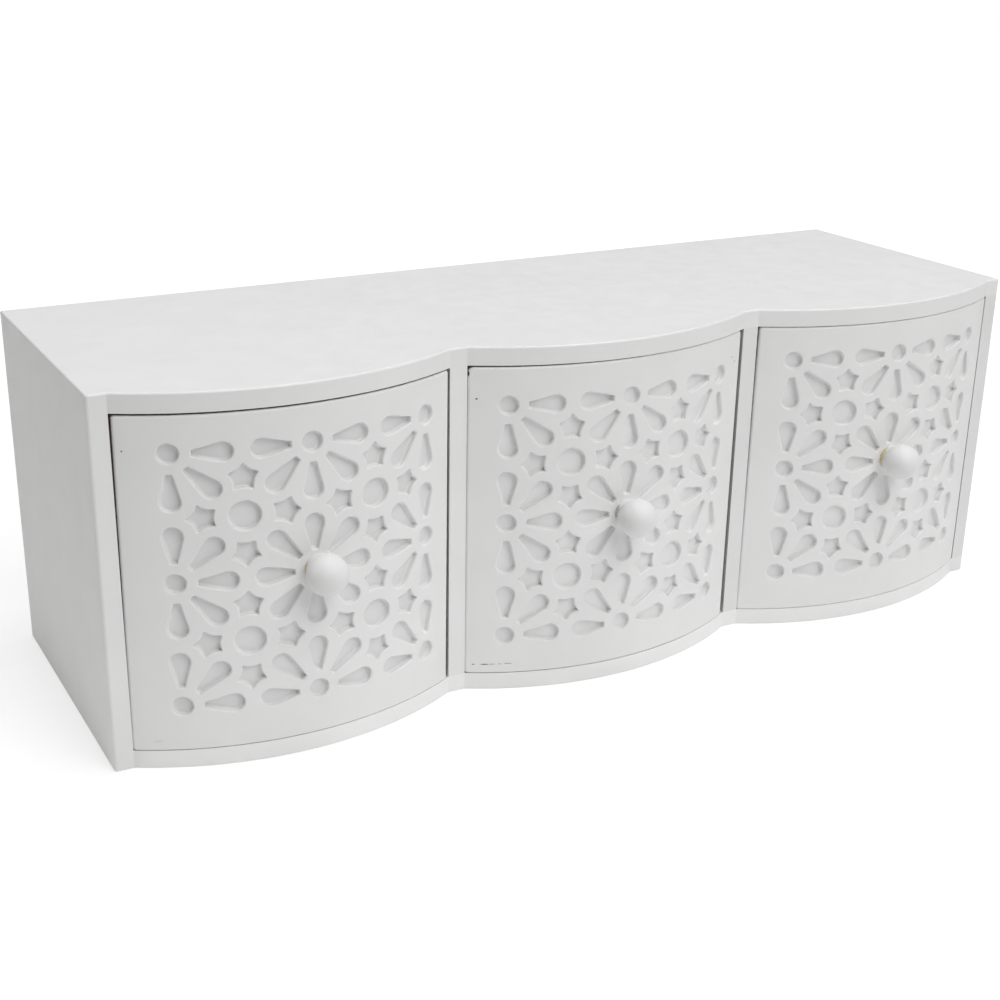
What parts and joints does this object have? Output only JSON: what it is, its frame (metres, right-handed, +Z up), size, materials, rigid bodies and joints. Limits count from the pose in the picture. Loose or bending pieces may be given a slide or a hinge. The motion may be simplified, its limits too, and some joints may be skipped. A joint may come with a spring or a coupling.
{
  "type": "drawer organizer",
  "caption": "Low white tabletop organizer with bow-fronted drawers side by side, each with a pierced rosette fretwork front and a ball knob.",
  "frame": {"origin": "middle of the case's base, halfway between the flat front lands and the back", "axes": "+X to the right along the case, +Y to the back, +Z up"},
  "size_m": [0.4, 0.155, 0.138],
  "materials": {
    "painted_board": "white satin paint on fibreboard",
    "thin_board": "thin white paint on hardboard",
    "knob_paint": "smooth white satin paint on turned wood",
    "steel": "plain zinc-plated steel"
  },
  "bodies": {
    "case": {"top_panel": "painted_board", "bottom_panel": "painted_board", "left_end_panel": "painted_board", "right_end_panel": "painted_board", "left_divider": "painted_board", "right_divider": "painted_board", "back_panel": "thin_board", "case_brads": "steel", "back_panel_pins": "steel"},
    "left_drawer": {"left_drawer_fretwork": "painted_board", "left_drawer_front_sheet": "painted_board", "left_drawer_left_side": "painted_board", "left_drawer_right_side": "painted_board", "left_drawer_back": "painted_board", "left_drawer_bottom": "thin_board", "left_drawer_knob": "knob_paint", "left_drawer_knob_screw": "steel", "left_drawer_brads": "steel"},
    "middle_drawer": {"middle_drawer_fretwork": "painted_board", "middle_drawer_front_sheet": "painted_board", "middle_drawer_left_side": "painted_board", "middle_drawer_right_side": "painted_board", "middle_drawer_back": "painted_board", "middle_drawer_bottom": "thin_board", "middle_drawer_knob": "knob_paint", "middle_drawer_knob_screw": "steel", "middle_drawer_brads": "steel"},
    "right_drawer": {"right_drawer_fretwork": "painted_board", "right_drawer_front_sheet": "painted_board", "right_drawer_left_side": "painted_board", "right_drawer_right_side": "painted_board", "right_drawer_back": "painted_board", "right_drawer_bottom": "thin_board", "right_drawer_knob": "knob_paint", "right_drawer_knob_screw": "steel", "right_drawer_brads": "steel"}
  },
  "joints": [
    {"name": "left_drawer_slide", "type": "slide", "parent": "case", "child": "left_drawer", "axis": [0, -1, 0], "range_m": [0, 0.1]},
    {"name": "middle_drawer_slide", "type": "slide", "parent": "case", "child": "middle_drawer", "axis": [0, -1, 0], "range_m": [0, 0.1]},
    {"name": "right_drawer_slide", "type": "slide", "parent": "case", "child": "right_drawer", "axis": [0, -1, 0], "range_m": [0, 0.1]}
  ]
}
